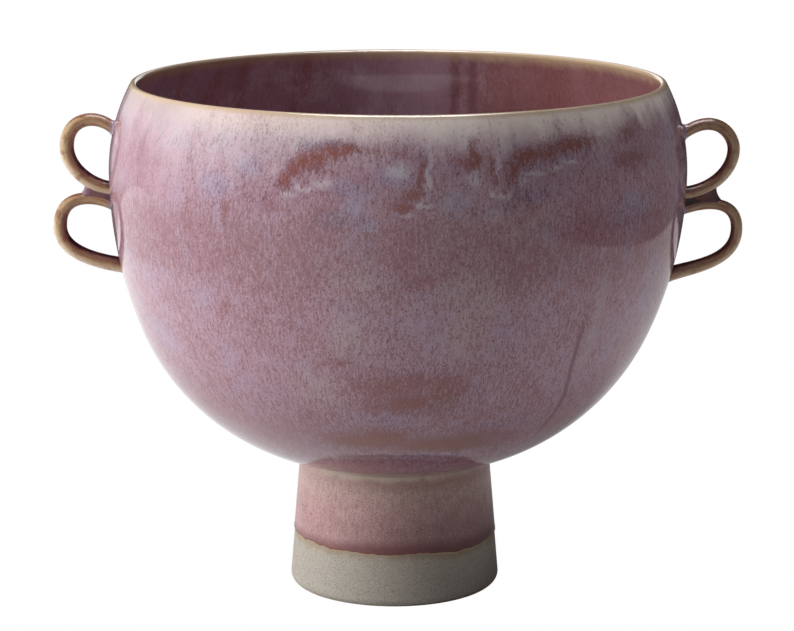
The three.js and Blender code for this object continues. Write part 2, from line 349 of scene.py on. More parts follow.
def make_piece(name, vertices, faces, finish, values=None):
    """A closed smooth mesh in the row frame, with a number per vertex for each named value."""
    mesh = bpy.data.meshes.new(name)
    leaning = [((x + lean_at(z)) * MM, y * MM, z * MM) for x, y, z in vertices]
    mesh.from_pydata(leaning, [], faces)
    for label, numbers in (values or {}).items():
        layer = mesh.attributes.new(label, "FLOAT", "POINT")
        layer.data.foreach_set("value", numbers)
    shell = bmesh.new()
    shell.from_mesh(mesh)
    bmesh.ops.recalc_face_normals(shell, faces=shell.faces)
    shell.to_mesh(mesh)
    shell.free()
    mesh.polygons.foreach_set("use_smooth", [True] * len(mesh.polygons))
    mesh.materials.append(finish)
    piece = bpy.data.objects.new(name, mesh)
    bpy.context.collection.objects.link(piece)
    return piece


def grid_faces(rows, columns, wrap_rows=False):
    """Quads of a grid that closes on itself across its columns."""
    faces = []
    for row in range(rows if wrap_rows else rows - 1):
        above = (row + 1) % rows
        for column in range(columns):
            beside = (column + 1) % columns
            corners = ((row, column), (row, beside), (above, beside), (above, column))
            faces.append(tuple(ring * columns + place for ring, place in corners))
    return faces


def end_faces(rows, columns):
    """A face over the first row of a grid and one over the last."""
    return [tuple(row * columns + column for column in range(columns)) for row in (0, rows - 1)]


def turned(rows, sides):
    """Vertices of a turned shape: each row gives (radius, height) at an azimuth, from the front."""
    vertices = []
    for row in rows:
        for side in range(sides):
            azimuth = 2 * math.pi * side / sides
            radius, height = row(azimuth)
            vertices.append((radius * math.sin(azimuth), -radius * math.cos(azimuth), height))
    return vertices


def bowl_profile():
    """(radius, height, distance along the wall from the lip) with the inside's distances negative."""
    angles = outline_angles()
    outside = [outline_at(angle) for angle in angles]
    inside = [outline_at(angle, -thickness_at(angle)) for angle in angles]
    middle = outline_at(LIP_ANGLE, -LIP_THICKNESS / 2)
    turns = [LIP_ANGLE + math.pi * i / LIP_STEPS for i in range(1, LIP_STEPS)]
    lip = [middle + direction(turn) * LIP_THICKNESS / 2 for turn in turns]
    points = outside[::-1] + lip + inside
    crown = max(range(len(points)), key=lambda i: points[i].y)
    along = [0] * len(points)
    for i in range(crown - 1, -1, -1):
        along[i] = along[i + 1] + (points[i] - points[i + 1]).length
    for i in range(crown + 1, len(points)):
        along[i] = along[i - 1] - (points[i] - points[i - 1]).length
    return [(p.x, p.y + BELLY_HEIGHT, a) for p, a in zip(points, along)]


def closed_by_poles(vertices, values, faces, rows, sides, low, high):
    """Adds a point on the axis at both ends of a turned shape, and the triangles to it."""
    for row, height in ((0, low), (rows - 1, high)):
        pole = len(vertices)
        vertices.append((0, 0, height))
        values.append(values[row * sides])
        for side in range(sides):
            faces.append((row * sides + side, row * sides + (side + 1) % sides, pole))


def make_bowl(finish):
    profile = bowl_profile()
    rows = [lambda azimuth, r=r, z=z: (r, z) for r, z, _ in profile]
    vertices = turned(rows, BOWL_SIDES)
    along = [a for _, _, a in profile for _ in range(BOWL_SIDES)]
    faces = grid_faces(len(profile), BOWL_SIDES)
    closed_by_poles(vertices, along, faces, len(profile), BOWL_SIDES, profile[0][1], profile[-1][1])
    return make_piece("glazed_bowl", vertices, faces, finish, {"along": along})


# Foot


def foot_outer(height):
    return FOOT_TOP_RADIUS + (FOOT_HEIGHT - height) * FOOT_FLARE


def glaze_edge(azimuth):
    """Height at which the foot's glaze ends: dipped a little lower on the right, with small scallops."""
    around = Vector((math.sin(azimuth), math.cos(azimuth), 0))
    slow = noise.noise(around * 2.1 + Vector((4, 0, 0)))
    fast = noise.noise(around * 9.5) + 0.5 * noise.noise(around * 21)
    return GLAZE_LINE - EDGE_DIP * math.sin(azimuth) + EDGE_WAVE * slow + EDGE_SCALLOP * fast


def above_glaze_edge(vertices, sides):
    edges = [glaze_edge(2 * math.pi * side / sides) for side in range(sides)]
    return [vertices[i][2] - edges[i % sides] for i in range(len(vertices))]


def seat_height(radius):
    """The bowl's underside, into which the top of the foot reaches a little."""
    return BELLY_HEIGHT + base_height(radius) + SEAT_SINK


def rounded_edge(wall, radius, side):
    """Round from the table up to a wall, on its outer side (1) or its inner side (-1)."""
    wall_angle = math.atan(FOOT_FLARE) * side
    centre = Vector((wall(radius) - side * radius / math.cos(wall_angle), radius))
    turns = steps(-math.pi / 2, wall_angle, ROUND_STEP)
    return [
        (centre.x + side * radius * math.cos(turn), centre.y + radius * math.sin(turn))
        for turn in turns
    ]


def make_foot_clay(finish):
    inner = lambda height: foot_outer(height) - FOOT_WALL
    edge = rounded_edge(foot_outer, FOOT_EDGE_ROUND, 1)
    wall = [(foot_outer(z), z) for z in steps(edge[-1][1], FOOT_HEIGHT - 1, FOOT_STEP)[1:]]
    outer_top, inner_top = foot_outer(FOOT_HEIGHT), inner(FOOT_HEIGHT)
    seat = [(r, seat_height(r)) for r in steps(outer_top, inner_top, FOOT_STEP)]
    hollow = rounded_edge(inner, FOOT_INNER_ROUND, -1)
    heights = steps(FOOT_HEIGHT - HOLLOW_TOP, hollow[-1][1], HOLLOW_STEP)[:-1]
    inside = [(inner(z), z) for z in heights]
    profile = edge + wall + seat + inside + hollow[::-1]
    rows = [lambda azimuth, r=r, z=z: (r, z) for r, z in profile]
    vertices = turned(rows, FOOT_SIDES)
    below = [-rise for rise in above_glaze_edge(vertices, FOOT_SIDES)]
    faces = grid_faces(len(profile), FOOT_SIDES, wrap_rows=True)
    return make_piece("foot_clay", vertices, faces, finish, {"below_glaze": below})


def make_foot_glaze(finish):
    """The coat of glaze on the foot, with a rounded bead along its lower edge."""
    top = seat_height(FOOT_TOP_RADIUS + GLAZE_THICKNESS)

    def row(rise, share, proud):
        def place(azimuth):
            start = glaze_edge(azimuth) + rise
            height = start + (top - start) * share
            return foot_outer(height) + proud, height

        return place

    bottom_rise, top_rise = BEAD[0][0], BEAD[-1][0]
    rows = [row(rise, 0, proud) for rise, proud in BEAD]
    rows += [row(top_rise, i / COAT_ROWS, GLAZE_THICKNESS) for i in range(1, COAT_ROWS + 1)]
    rows += [row(bottom_rise, i / COAT_BACK_ROWS, COAT_BACK) for i in range(COAT_BACK_ROWS, -1, -1)]
    vertices = turned(rows, COAT_SIDES)
    above = above_glaze_edge(vertices, COAT_SIDES)
    faces = grid_faces(len(rows), COAT_SIDES, wrap_rows=True)
    return make_piece("foot_glaze", vertices, faces, finish, {"above_edge": above})


# Coils


def bezier(points, u):
    a, b, c, d = points
    rest = 1 - u
    place = a * rest**3 + b * 3 * u * rest**2 + c * 3 * u * u * rest + d * u**3
    along = (b - a) * rest**2 + (c - b) * 2 * u * rest + (d - c) * u * u
    return place, along.normalized()


class CentreLine:
    """A loop's centre line in the plane through the axis, by distance from its high root."""

    def __init__(self, loop):
        self.loop = loop
        high, turn, low = loop["high"], loop["turn"], loop["low"]
        self.start = outline_at(angle_at_height(high["root"]))
        self.end = outline_at(angle_at_height(low["root"]))
        away = direction(math.radians(high["lean"]))
        back = direction(math.radians(low["lean"]))
        lean = lean_at(BELLY_HEIGHT + turn["height"])
        top = Vector((BELLY_RADIUS + turn["reach"] - loop["side"] * lean, turn["height"]))
        out = (self.start, self.start + away * high["pull"], top + Vector((0, turn["rise"])), top)
        into = (top, top - Vector((0, turn["fall"])), self.end + back * low["pull"], self.end)
        self.samples = []
        distance = 0
        last = self.start
        for points in (out, into):
            for i in range(CURVE_SAMPLES + 1):
                place, along = bezier(points, i / CURVE_SAMPLES)
                distance += (place - last).length
                last = place
                self.samples.append((distance, place, along))
        self.length = distance
        places = [place for _, place, _ in self.samples]
        self.middle = sum(places, Vector((0, 0))) / len(places)

    def at(self, distance):
        """(point, direction) at a distance, going straight on into the wall past either root."""
        if distance <= 0:
            _, place, along = self.samples[0]
            return place + along * distance, along
        if distance >= self.length:
            _, place, along = self.samples[-1]
            return place + along * (distance - self.length), along
        beyond = bisect_right(self.samples, distance, key=lambda sample: sample[0])
        before, after = self.samples[beyond - 1], self.samples[beyond]
        share = (distance - before[0]) / max(1e-9, after[0] - before[0])
        place = before[1].lerp(after[1], share)
        return place, before[2].lerp(after[2], share).normalized()

    def radius_at(self, distance):
        high, turn, low = (self.loop[part]["radius"] for part in ("high", "turn", "low"))
        share = (distance + ROOT_DEPTH) / (self.length + 2 * ROOT_DEPTH)
        pulled = 2 * turn - (high + low) / 2
        rest = 1 - share
        return high * rest * rest + 2 * pulled * share * rest + low * share * share

    def skin(self, distance, turn):
        """Point on the coil and its outward direction, as (reach, depth, height)."""
        place, along = self.at(distance)
        outward = Vector((-along.y * math.cos(turn), math.sin(turn), along.x * math.cos(turn)))
        centre = Vector((place.x, 0, place.y))
        return centre + outward * self.radius_at(distance), outward


def outside_wall(point):
    """How far a point (reach, depth, height above the belly) is outside the bowl's wall."""
    return math.hypot(point.x, point.y) - wall_radius(point.z)


def wall_normal(point):
    rise = angle_at_height(point.z)
    across = Vector((point.x, point.y, 0)).normalized()
    return across * math.cos(rise) + Vector((0, 0, math.sin(rise)))


def onto_wall(point):
    across = Vector((point.x, point.y, 0)).normalized()
    return across * wall_radius(point.z) + Vector((0, 0, point.z))


def meets_wall(line, turn, inner, outer):
    """Distance along the coil at which one of its straight lines meets the wall."""
    for _ in range(HALVINGS):
        middle = (inner + outer) / 2
        if outside_wall(line.skin(middle, turn)[0]) > 0:
            outer = middle
        else:
            inner = middle
    return (inner + outer) / 2


def fillet_rows(line, turn, root, inner, outer):
    """Points from inside the wall, over the fillet, to the coil, and the distance they end at."""
    met = meets_wall(line, turn, inner, outer)
    corner, outward = line.skin(met, turn)
    normal = wall_normal(corner)
    spread = (outward - normal * outward.dot(normal)).normalized()
    size = root["flare"] * (1 + root["top"] * max(0, outward.z))
    foot = onto_wall(corner + spread * size)
    inward = 1 if outer > inner else -1
    ends = met + inward * size
    joined, _ = line.skin(ends, turn)
    rows = [foot - normal * FILLET_SINK]
    for i in range(FILLET_ROWS):
        u = i / FILLET_ROWS
        rows.append(foot * (1 - u) ** 2 + corner * 2 * u * (1 - u) + joined * u * u)
    return rows, ends


def coil_columns(loop, line):
    """One column of (point, outward direction, distance) per side of the coil."""
    inner, outer = ROOT_SEARCH
    columns = []
    for side in range(COIL_SIDES):
        turn = 2 * math.pi * side / COIL_SIDES
        first, starts = fillet_rows(line, turn, loop["high"], inner, outer)
        last, stops = fillet_rows(line, turn, loop["low"], line.length - inner, line.length - outer)
        _, outward = line.skin(starts, turn)
        column = [(point, outward, 0) for point in first]
        for distance in steps(starts, stops, (stops - starts) / COIL_RINGS):
            point, outward = line.skin(distance, turn)
            column.append((point, outward, distance))
        column += [(point, outward, line.length) for point in last[::-1]]
        columns.append(column)
    return columns


def to_middle(point, line):
    return Vector((line.middle.x - point.x, 0, line.middle.y - point.z)).normalized()


def beside_other(point, other):
    """1 where the coil runs against the other one."""
    flat = Vector((point.x, point.z))
    near = min((flat - place).length for _, place, _ in other.samples[:: CURVE_SAMPLES // 24])
    return smooth(near, *BESIDE_OTHER)


def coil_values(point, outward, distance, line, other):
    """What the coil's glaze depends on, by name."""
    inward = outward.dot(to_middle(point, line))
    at_wall = outside_wall(point)
    high_root = smooth(distance / line.length, 0.5, 0.4)
    return {
        # tone rises toward the inner, upward-facing side, where the coil is painted dark as pooled glaze
        # and painted shade
        "tone": (inward + outward.z) / 2,
        "crown": smooth(outward.z, 0.35, 0.8) * smooth(inward, 0, -0.6),
        # beside and sunk: pooled glaze with painted shade, against the other coil and on the
        # upward-facing side at the low root
        "beside": beside_other(point, other),
        "collar": smooth(at_wall, *COLLAR) * high_root,
        "sunk": smooth(at_wall, *SUNK) * smooth(outward.z, -0.4, 0.6) * (1 - high_root),
        "down_coil": distance,
    }


def make_coil(name, key, line, other, finish):
    loop = LOOPS[key]
    columns = coil_columns(loop, line)
    rows = len(columns[0])
    vertices = []
    values = {}
    for row in range(rows):
        for side, column in enumerate(columns):
            point, outward, distance = column[row]
            vertices.append((loop["side"] * point.x, point.y, BELLY_HEIGHT + point.z))
            found = coil_values(point, outward, distance, line, other)
            turn = 2 * math.pi * side / COIL_SIDES
            found["across_coil"] = COIL_GIRTH * math.cos(turn)
            found["through_coil"] = COIL_GIRTH * math.sin(turn)
            for label, number in found.items():
                values.setdefault(label, []).append(number)
    faces = grid_faces(rows, COIL_SIDES) + end_faces(rows, COIL_SIDES)
    return make_piece(name, vertices, faces, finish, values)


# Webs


def leg_points(line, start, end, reaches):
    """(centre, radius) of a leg where it passes each reach beyond the belly."""
    distances = steps(start, end, abs(end - start) / LEG_SAMPLES)
    places = [line.at(distance)[0] for distance in distances]
    radii = [line.radius_at(distance) for distance in distances]
    found = []
    for reach in reaches:
        nearest = min(range(len(places)), key=lambda i: abs(places[i].x - BELLY_RADIUS - reach))
        found.append((places[nearest], radii[nearest]))
    return found


def hollow_arc(above, below, half):
    """The concave face between two round legs, as (depth, rise from 1 above to -1 below)."""
    (top, top_radius), (bottom, bottom_radius) = above, below
    apart = (top - bottom).length
    radius = (top_radius + bottom_radius) / 2 - WEB_TUCK
    bow = (apart * apart / 4 + half * half - radius * radius) / (2 * (radius - half))
    bow = max(WEB_SMALLEST_BOW, bow)
    out = math.sqrt(max(0.01, (radius + bow) ** 2 - apart * apart / 4))
    swing = math.asin(min(1, apart / 2 / (radius + bow)))
    points = []
    for i in range(WEB_ARC_STEPS + 1):
        turn = swing * (1 - 2 * i / WEB_ARC_STEPS)
        points.append((out - bow * math.cos(turn), bow * math.sin(turn) / (apart / 2)))
    return points


def make_web(name, hand, upper_line, lower_line, finish):
    side = LOOPS[f"{hand}_upper"]["side"]
    root_reach = wall_radius(WEB_ROOT_HEIGHT) - BELLY_RADIUS - WEB_ROOT_SINK
    reaches = steps(root_reach, WEB_REACH[hand], (WEB_REACH[hand] - root_reach) / WEB_STATIONS)
    upper_end = upper_line.length + LEG_RUN_ON
    above = leg_points(upper_line, upper_line.length * 0.5, upper_end, reaches)
    below = leg_points(lower_line, -LEG_RUN_ON, lower_line.length * 0.5, reaches)
    vertices = []
    for i, (top, bottom) in enumerate(zip(above, below)):
        share = i / WEB_STATIONS
        closing = math.sqrt(max(0, 1 - smooth(share, *WEB_CLOSING) ** 2))
        shaped = smooth(share, 0.5, 1)
        centre = (top[0] + bottom[0]) / 2
        half_gap = (top[0] - bottom[0]) / 2
        front = []
        for depth, rise in hollow_arc(top, bottom, WEB_HALF):
            place = centre + half_gap * rise
            toe = WEB_TOE * (0.5 - rise / 2) ** 3
            cove = WEB_COVE * (1 - rise * rise)
            place.x += shaped * (toe - cove)
            front.append((place, depth * closing))
        ring = [(place.x, -depth, place.y) for place, depth in front]
        ring += [(place.x, depth, place.y) for place, depth in front[::-1]]
        vertices += [(side * x, y, BELLY_HEIGHT + z) for x, y, z in ring]
    columns = 2 * (WEB_ARC_STEPS + 1)
    faces = grid_faces(len(above), columns) + end_faces(len(above), columns)
    return make_piece(name, vertices, faces, finish)


# Finishes


def operator(operation, reflected=False):
    def apply(self, other):
        return self.math(operation, *((other, self) if reflected else (self, other)))

    return apply


class Socket:
    """An output of a node, so that shader maths reads as a Python expression."""

    __add__, __radd__ = operator("ADD"), operator("ADD", reflected=True)
    __sub__, __rsub__ = operator("SUBTRACT"), operator("SUBTRACT", reflected=True)
    __mul__, __truediv__, __pow__ = operator("MULTIPLY"), operator("DIVIDE"), operator("POWER")

    def __init__(self, nodes, output):
        self.nodes = nodes
        self.output = output

    def __neg__(self):
        return self * -1

    def __abs__(self):
        return self.math("ABSOLUTE", self)

    def math(self, operation, *operands):
        return self.nodes.make("ShaderNodeMath", {"operation": operation}, dict(enumerate(operands)))

    def ease(self, start, end):
        """0 at start and 1 at end, with soft ends; start may be above end."""
        if start > end:
            return 1 - self.ease(end, start)
        settings = {"interpolation_type": "SMOOTHSTEP"}
        sockets = {"Value": self, "From Min": start, "From Max": end}
        return self.nodes.make("ShaderNodeMapRange", settings, sockets)

    def swing(self, size):
        """Noise as a shift to either side, from minus to plus half the size."""
        return (self - 0.5) * size

    def between(self, rising, falling):
        """1 in a zone that comes in over one (start, end) and goes out over another."""
        return self.ease(*rising) * self.ease(*falling)


def socket_colour(colour):
    """A scene-linear socket value from a colour's 0 to 255 numbers; a socket stays as it is."""
    if isinstance(colour, Socket):
        return colour
    levels = [level / 255 for level in colour]
    return *(n / 12.92 if n <= 0.04045 else ((n + 0.055) / 1.055) ** 2.4 for n in levels), 1


class Nodes:
    """A node tree that is filled from Python."""

    def __init__(self, tree):
        self.tree = tree
        self.tree.nodes.clear()

    def make(self, kind, settings=None, sockets=None, output=0):
        made = self.tree.nodes.new(kind)
        for label, value in (settings or {}).items():
            if label == "stops":
                self.fill_ramp(made.color_ramp, value)
            else:
                setattr(made, label, value)
        for key, value in (sockets or {}).items():
            if isinstance(value, Socket):
                self.tree.links.new(value.output, made.inputs[key])
            else:
                made.inputs[key].default_value = value
        return Socket(self, made.outputs[output]) if made.outputs else made

    @staticmethod
    def fill_ramp(ramp, stops):
        while len(ramp.elements) < len(stops):
            ramp.elements.new(1)
        for element, (position, colour) in zip(ramp.elements, stops):
            element.position = position
            element.color = colour

    def blend(self, share, first, second):
        sockets = {0: share, 6: socket_colour(first), 7: socket_colour(second)}
        return self.make("ShaderNodeMix", {"data_type": "RGBA"}, sockets, 2)

    def over(self, body, *layers):
        """Lays each (share, colour) over what is below it."""
        for share, colour in layers:
            body = self.blend(share, body, colour)
        return body

    def ramp(self, share, stops):
        return self.make("ShaderNodeValToRGB", {"stops": stops}, {"Fac": share})

    def vector(self, x, y, z):
        return self.make("ShaderNodeCombineXYZ", None, {"X": x, "Y": y, "Z": z})

    def vector_math(self, operation, first, second=None, output=0):
        sockets = {0: first} if second is None else {0: first, 1: second}
        return self.make("ShaderNodeVectorMath", {"operation": operation}, sockets, output)

    def grain(self, place, cell, detail=2.0, roughness=0.5, distortion=0.0):
        """Noise from 0 to 1 with cells of that size."""
        kind = {"Detail": detail, "Roughness": roughness, "Distortion": distortion}
        return self.make("ShaderNodeTexNoise", None, {"Vector": place, "Scale": 1 / cell, **kind})

    def value(self, label):
        return self.make("ShaderNodeAttribute", {"attribute_name": label}, None, "Fac")

    def place(self):
        """Position in millimetres, and its three parts."""
        at = self.make("ShaderNodeTexCoord", None, None, "Object")
        scaled = self.make("ShaderNodeVectorMath", {"operation": "SCALE"}, {0: at, "Scale": 1 / MM})
        return scaled, *self.parts(scaled)

    def parts(self, vector):
        return [self.make("ShaderNodeSeparateXYZ", None, {0: vector}, i) for i in range(3)]

    def bump(self, strength, distance, height):
        sockets = {"Strength": strength, "Distance": distance, "Height": height}
        return self.make("ShaderNodeBump", None, sockets)


def new_finish(name, surface, *details):
    """A material with the surface that a function lays out in its nodes."""
    material = bpy.data.materials.new(name)
    material.use_nodes = True
    nodes = Nodes(material.node_tree)
    nodes.make("ShaderNodeOutputMaterial", None, {"Surface": surface(nodes, *details)})
    return material


def glossy(nodes, colour, roughness, coat, normal=None, coat_roughness=0.05):
    sockets = {
        "Base Color": colour,
        "Roughness": roughness,
        "Specular IOR Level": 0.0,
        "Coat Weight": coat,
        "Coat Roughness": coat_roughness,
        "Coat IOR": 1.5,
    }
    if normal is not None:
        sockets["Normal"] = normal
    return nodes.make("ShaderNodeBsdfPrincipled", None, sockets)


class BowlSurface:
    """The bowl as its glaze lies on it: round from the front, and down the wall from the lip."""

    def __init__(self, nodes):
        self.nodes = nodes
        self.place, x, y, _ = nodes.place()
        self.across = x
        self.along = nodes.value("along")
        radius = (x * x + y * y) ** 0.5
        self.around = (x / radius, y / radius)
        self.low = radius.ease(95, 75)
        self.azimuth = x.math("ARCTAN2", x, -y) * (180 / math.pi)
        self.fine = self.streaks(*FINE_STREAKS)
        self.runs = self.streaks(*RUN_STREAKS)
        self.cloud = nodes.grain(self.place, CLOUD_CELL, distortion=0.5)
        self.patch = nodes.grain(self.place, PATCH_CELL, detail=3.0, roughness=0.6, distortion=0.4)
        sideways = nodes.grain(self.place, 5)
        loose = 1 + self.along.ease(60, 100) * 2.5
        self.spot = nodes.vector(
            self.azimuth + sideways.swing(3) * loose,
            self.along + self.patch.swing(3) * loose + self.runs.swing(4),
            0.0,
        )

    def streaks(self, cell, stretch, detail):
        """Noise drawn out down the wall, with cells of about one width from lip to foot."""
        wide, narrow = [
            self.nodes.grain(self.unrolled(girth, stretch), cell, detail=detail)
            for girth in STREAK_GIRTHS
        ]
        return wide + (narrow - wide) * self.low

    def unrolled(self, girth, stretch):
        x, y = self.around
        return self.nodes.vector(x * girth, y * girth, self.along * stretch)

    def pores(self, cell, radius):
        """1 in small round spots spread over the wall and 0 between them."""
        sockets = {"Vector": self.unrolled(STREAK_GIRTHS[0], 0.8), "Scale": 1 / cell}
        distance = self.nodes.make("ShaderNodeTexVoronoi", None, sockets)
        return (distance * cell).ease(radius * 1.6, radius * 0.6)

    def from_middle(self, azimuth, along, half_width, half_height):
        """0 in the middle of an oval and 1 on its outline."""
        offset = self.nodes.vector_math("SUBTRACT", self.spot, (azimuth, along, 0))
        size = (1 / half_width, 1 / half_height, 0)
        share = self.nodes.vector_math("MULTIPLY", offset, size)
        return self.nodes.vector_math("LENGTH", share, None, 1)

    def from_marks(self, ovals):
        nearest = self.from_middle(*ovals[0])
        for oval in ovals[1:]:
            nearest = nearest.math("MINIMUM", nearest, self.from_middle(*oval))
        return nearest


def marks_by_noise(nodes, bowl):
    """(rusty, pale) for the sides and the back, where marks of the same kinds are placed by noise."""
    stain = nodes.grain(bowl.spot, 11)
    room = abs(bowl.azimuth).ease(58, 80) * bowl.along.between((10, 18), (48, 32))
    return stain.ease(0.57, 0.66) * room, stain.ease(0.43, 0.34) * room


def outside_masks(nodes, bowl):
    """How much of each mark and each zone lies at a place on the outside, from 0 to 1."""
    azimuth, along, patch = bowl.azimuth, bowl.along, bowl.patch
    from_rust = bowl.from_marks(RUST_MARKS)
    rusty_behind, pale_behind = marks_by_noise(nodes, bowl)
    rusty = from_rust.ease(2.2, 0) + rusty_behind
    run_length = nodes.grain(nodes.vector(azimuth, along * 0.06, 0.0), 5)
    down = along + (0.5 - run_length) * 22 + (0.5 - patch) * 9
    reach = BAND_REACH
    for side, more in BAND_LONGER:
        reach = reach + azimuth.ease(*side) * more
    return SimpleNamespace(
        rusty=rusty,
        stained=bowl.from_marks(STAIN_MARKS).ease(1.7, 0),
        pale=bowl.from_marks(PALE_MARKS).ease(1.6, 0.1) + pale_behind,
        deep=bowl.from_marks(PLUM_MARKS).ease(1.7, 0) + from_rust.ease(2.6, 1) * 0.4,
        cool=bowl.from_marks(LILAC_MARKS).ease(1.7, 0),
        dusty=bowl.from_marks(DUSTY_MARKS).ease(1.8, 0),
        cloudy=(bowl.cloud + patch.swing(0.4)).ease(0.4, 0.66),
        band=(down / reach).ease(1.05, 0.05) * (1 - rusty * 0.9),
        belt=along.between((34, 50), (80, 62)),
        bottom=along.ease(105, 145),
        # Painted highlight: the upper left of the shoulder, where the left softbox is mirrored, is made
        # paler and smoother
        painted_highlight=azimuth.ease(-36, -56) * along.ease(64, 30),
        thick=azimuth.ease(-26, 26) * along.ease(22, 8),
        crisp=azimuth.ease(-30, 5) * along.ease(50, 90),
    )


def skin_share(bowl, at):
    """Where the skin closes over the rust: broad clouds, broken into fine runs."""
    cover = 0.57 - at.belt * 0.24 - at.bottom * 0.22
    cover = cover + bowl.cloud.swing(0.6) + bowl.patch.swing(0.5)
    cover = cover + at.band * (at.thick * 0.22 + 0.26) + at.pale * 0.22 + at.cool * 0.1
    cover = cover - at.rusty * 0.36 - at.stained * (0.36 + at.bottom * 0.2) - at.deep * 0.16
    # The painted highlight closes the skin and smooths its grain on the upper left
    cover = cover + at.painted_highlight * 0.15 + at.dusty * 0.1
    grain = bowl.fine.swing(1.45) + bowl.runs.swing(1.05)
    grain = grain * (1 - at.band * 0.3 - at.painted_highlight * 0.4 + at.crisp * 0.3)
    return (cover + grain).ease(0, 1)


def under_colour(nodes, bowl, at):
    """What shows where the skin is thin: rust, plum in clouds, brick at the rust marks."""
    rust, plum, brick = (144, 100, 108), (118, 88, 104), (142, 87, 80)
    dark = (at.cloudy * 0.3 + at.deep * 0.8 + at.cool * 0.5).ease(0, 1)
    ruddy = at.rusty + at.stained * 0.7 + at.bottom * 0.3 + bowl.runs.swing(0.8)
    return nodes.over(rust, (dark, plum), (ruddy.ease(0.2, 1), brick))


def skin_colour(nodes, bowl, at):
    """The skin: pink to lilac, white to cream where it lies thick under the lip, and paler on the upper
    left as a painted highlight.
    """
    pink, lilac, rose = (184, 150, 166), (172, 152, 174), (178, 138, 156)
    beige, soft_pink = (184, 164, 160), (188, 156, 166)
    white, cream, ivory = (206, 196, 204), (228, 208, 204), (255, 238, 230)
    pale_rose, soft_cream = (206, 172, 178), (196, 178, 176)
    skin = nodes.over(
        pink,
        ((at.cloudy * 0.5 + at.cool).ease(0, 1), lilac),
        (at.bottom * 0.5, rose),
        (at.dusty * 0.55, beige),
        (at.pale.ease(0, 1) * 0.6, white),
        # Painted highlight: soft pink and soft cream on the upper left
        (at.painted_highlight * 0.5, soft_pink),
    )
    mottled = bowl.patch.ease(0.4, 0.62) * 0.6
    white = nodes.over(white, (at.thick, ivory), (mottled, pale_rose))
    cream = nodes.over(cream, (at.thick, ivory), (at.painted_highlight, soft_cream))
    near_lip = (bowl.along + bowl.patch.swing(12)).ease(14, 4)
    return nodes.blend(at.band, skin, nodes.blend(near_lip, white, cream))


def stopped_run(bowl):
    """(fold, run): a fold in the glaze low on the right, and the run that stopped beside it."""
    bend = FOLD_AZIMUTH + bowl.along.ease(*FOLD_TURN) * FOLD_BEND
    fold = abs(bowl.azimuth - bend + bowl.patch.swing(0.5)).ease(1, 0.25)
    run = abs(bowl.azimuth - bend - RUN_BESIDE + bowl.runs.swing(2)).ease(2.6, 0.2)
    return fold * bowl.along.between(*FOLD_LENGTH), run * bowl.along.between(*RUN_LENGTH)


def outside_colour(nodes, bowl):
    at = outside_masks(nodes, bowl)
    share = skin_share(bowl, at)
    body = nodes.blend(share, under_colour(nodes, bowl, at), skin_colour(nodes, bowl, at))
    pores = bowl.pores(1.8, 0.34) * (bowl.runs + bowl.cloud * 0.5).ease(1, 0.65)
    # Fewer pores under the band and under the painted highlight
    bare = (1 - at.band * 0.7) * (1 - at.painted_highlight * 0.8)
    fold, run = stopped_run(bowl)
    brown, grey, dark = (124, 74, 66), (184, 168, 176), (108, 70, 76)
    return nodes.over(body, (pores * 0.75 * bare, brown), (run * 0.35, grey), (fold * 0.6, dark))


def inside_colour(nodes, bowl):
    """The inside: the same glaze, thinner, and browner to the right."""
    brown, plum = (148, 106, 108), (150, 116, 130)
    mauve, grey = (178, 146, 162), (192, 172, 184)
    rust, terracotta = (126, 76, 73), (142, 92, 90)
    streak = nodes.grain(nodes.vector(bowl.azimuth, bowl.along * 0.1, 0.0), 7)
    to_right = bowl.across.ease(10, 60)
    pale = (bowl.cloud + bowl.patch.swing(0.7)).ease(0.5, 0.66) * 0.7
    thin = (streak + to_right * 0.2).ease(0.46, 0.66)
    under = nodes.over(plum, (thin, brown), (to_right * 0.8, rust))
    skin = nodes.over(mauve, (pale * (1 - to_right * 0.5), grey), (to_right * 0.8, terracotta))
    grain = bowl.fine.swing(1.2) + bowl.runs.swing(0.8)
    cover = 0.5 + bowl.cloud.swing(0.8) + (0.5 - streak) * 0.8
    body = nodes.blend((cover + grain).ease(0, 1), under, skin)

    # A pale cloud and two dark runs on the far side
    far = abs(bowl.azimuth).ease(120, 150)
    wander = bowl.patch.swing(9)
    cloud = abs(bowl.across - FAR_CLOUD + wander).ease(17, 5)
    runs = abs(abs(bowl.across - FAR_RUNS + wander * 0.5) - 4).ease(3.5, 0.5)
    runs = runs * bowl.along.ease(-46, -24)
    pale_mauve, dark = (188, 164, 172), (112, 70, 76)
    return nodes.over(body, (cloud * far * 0.25, pale_mauve), (runs * far * 0.6, dark))


def bowl_glaze(nodes):
    """The glaze of the bowl, which on the lip runs thin and turns gold."""
    bowl = BowlSurface(nodes)
    along, patch = bowl.along, bowl.patch
    sand, gold = (196, 172, 136), (208, 180, 146)
    inner_lip = (along + patch.swing(5)).ease(-8, -2)
    inside = nodes.blend(inner_lip * 0.8, inside_colour(nodes, bowl), sand)
    lip = (abs(along - 0.6) + (0.5 - patch) * 1.6).ease(3, 0.3)
    body = nodes.over(
        outside_colour(nodes, bowl),
        (along.ease(-0.6, -1.6), inside),
        (lip * 0.85, gold),
    )
    swell = nodes.grain(bowl.place, 16, detail=1.0)
    return glossy(nodes, body, 0.42, 1.0, nodes.bump(0.08, 0.0006, swell))


